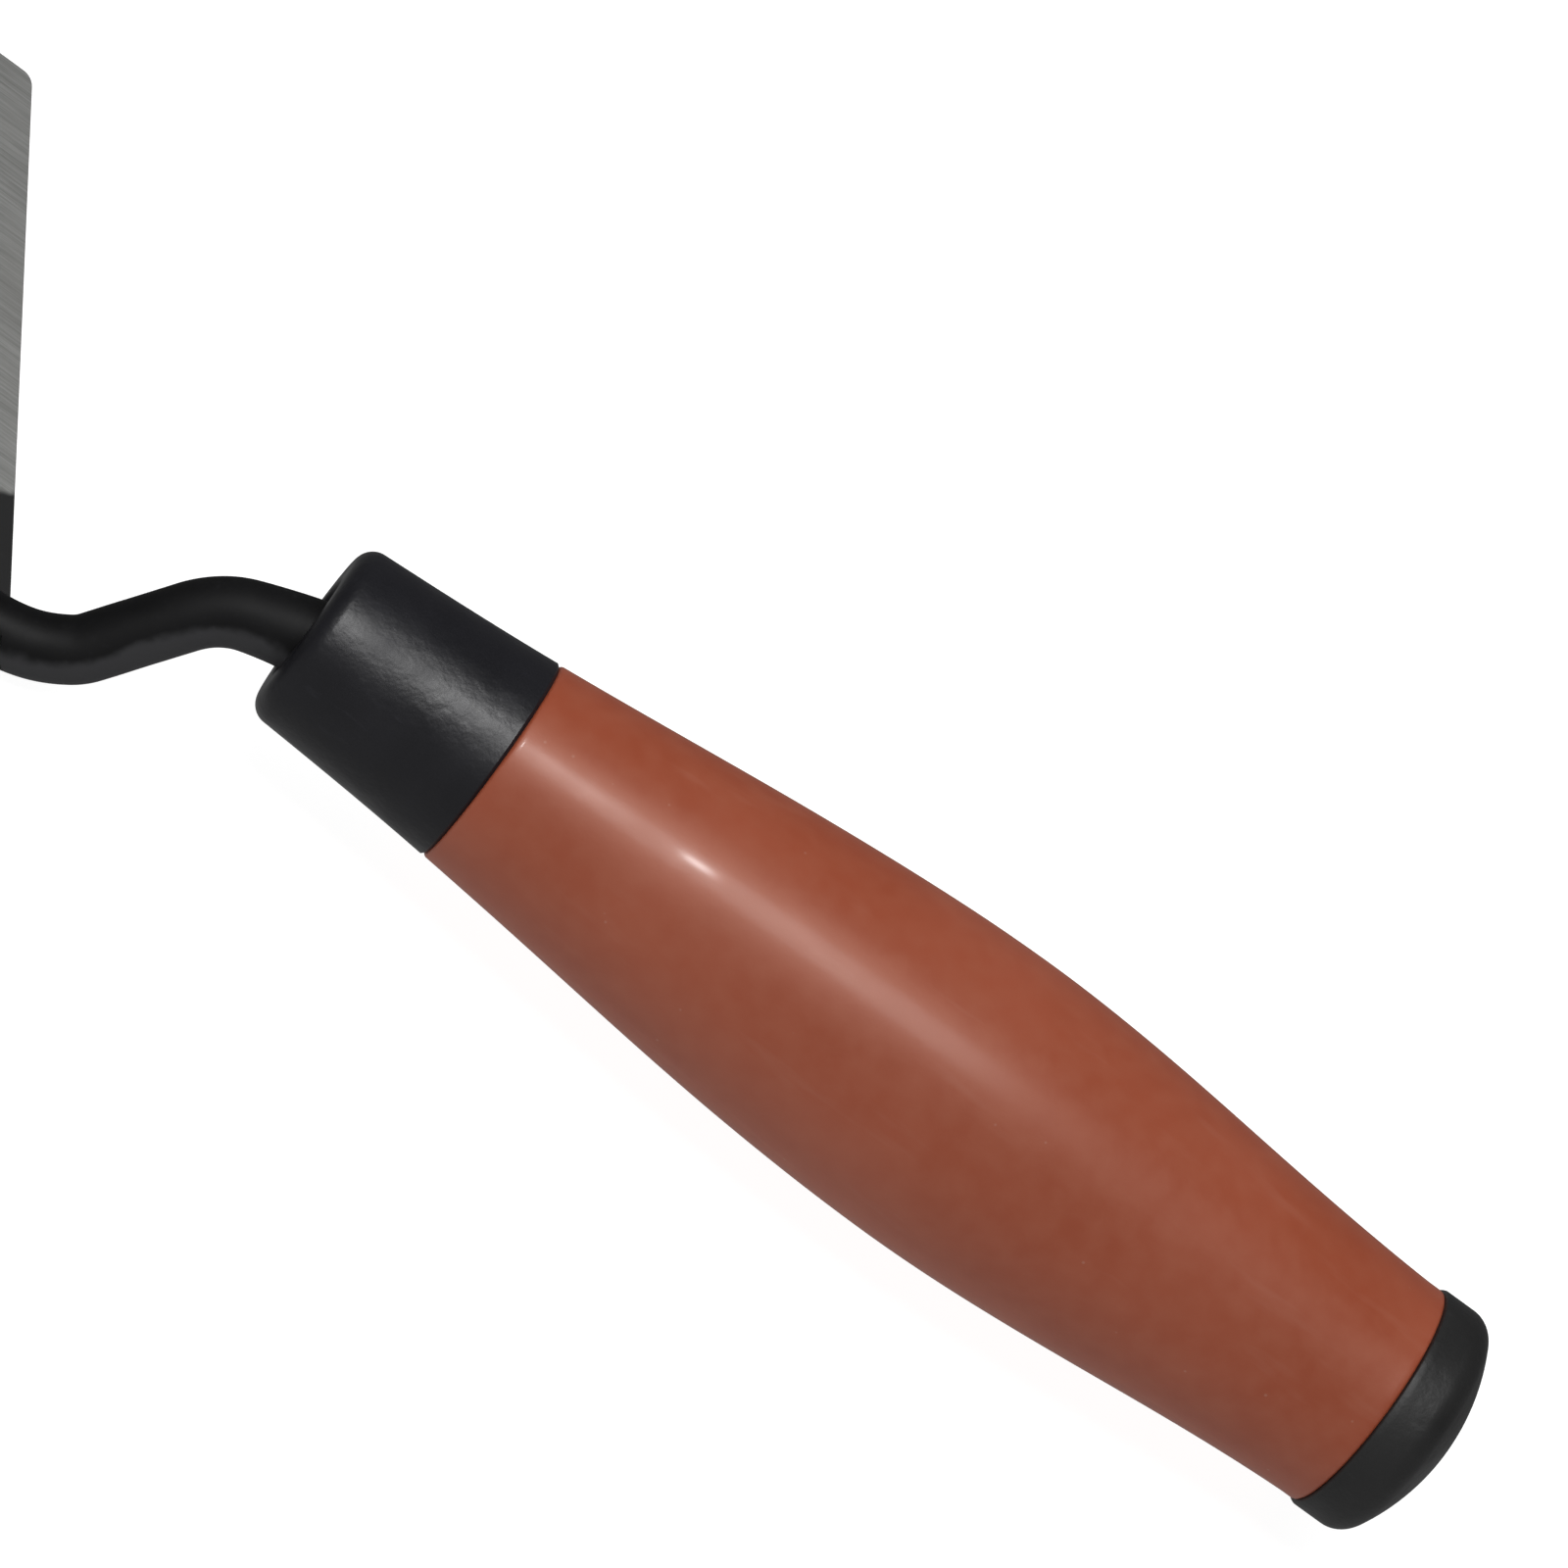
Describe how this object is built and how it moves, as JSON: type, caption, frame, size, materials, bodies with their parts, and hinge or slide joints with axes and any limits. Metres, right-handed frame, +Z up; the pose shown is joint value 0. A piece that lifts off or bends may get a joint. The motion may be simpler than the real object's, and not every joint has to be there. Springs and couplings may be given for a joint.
{
  "type": "inside corner trowel",
  "caption": "Inside corner plastering trowel with a folded steel V blade, a cranked black tang and a terracotta soft-grip handle with a black collar and end cap.",
  "frame": {"origin": "on the surface that the tool lies on, below the middle of the box round the whole tool", "axes": "+X along the fold and the handle, from the blade's nose to the end cap; +Z up, out of the wing that the tool lies on; -Y out of the working face of the wing that stands up along the fold"},
  "size_m": [0.2732, 0.06, 0.06],
  "materials": {
    "blade_steel": "ground spring steel, fine grain along the blade, black lacquer over the heel",
    "tang_lacquer": "satin black lacquer on a forged bar",
    "weld_lacquer": "rippled weld bead under black lacquer",
    "collar_plastic": "satin moulded black plastic",
    "core_plastic": "plain moulded black plastic, hidden inside the handle",
    "grip_rubber": "soft-touch terracotta rubber, satin",
    "cap_plastic": "satin moulded black plastic"
  },
  "bodies": {
    "root": {"blade": "blade_steel", "tang": "tang_lacquer", "weld_beads": "weld_lacquer", "collar": "collar_plastic", "handle_core": "core_plastic", "grip_sleeve": "grip_rubber", "end_cap": "cap_plastic"}
  },
  "joints": []
}
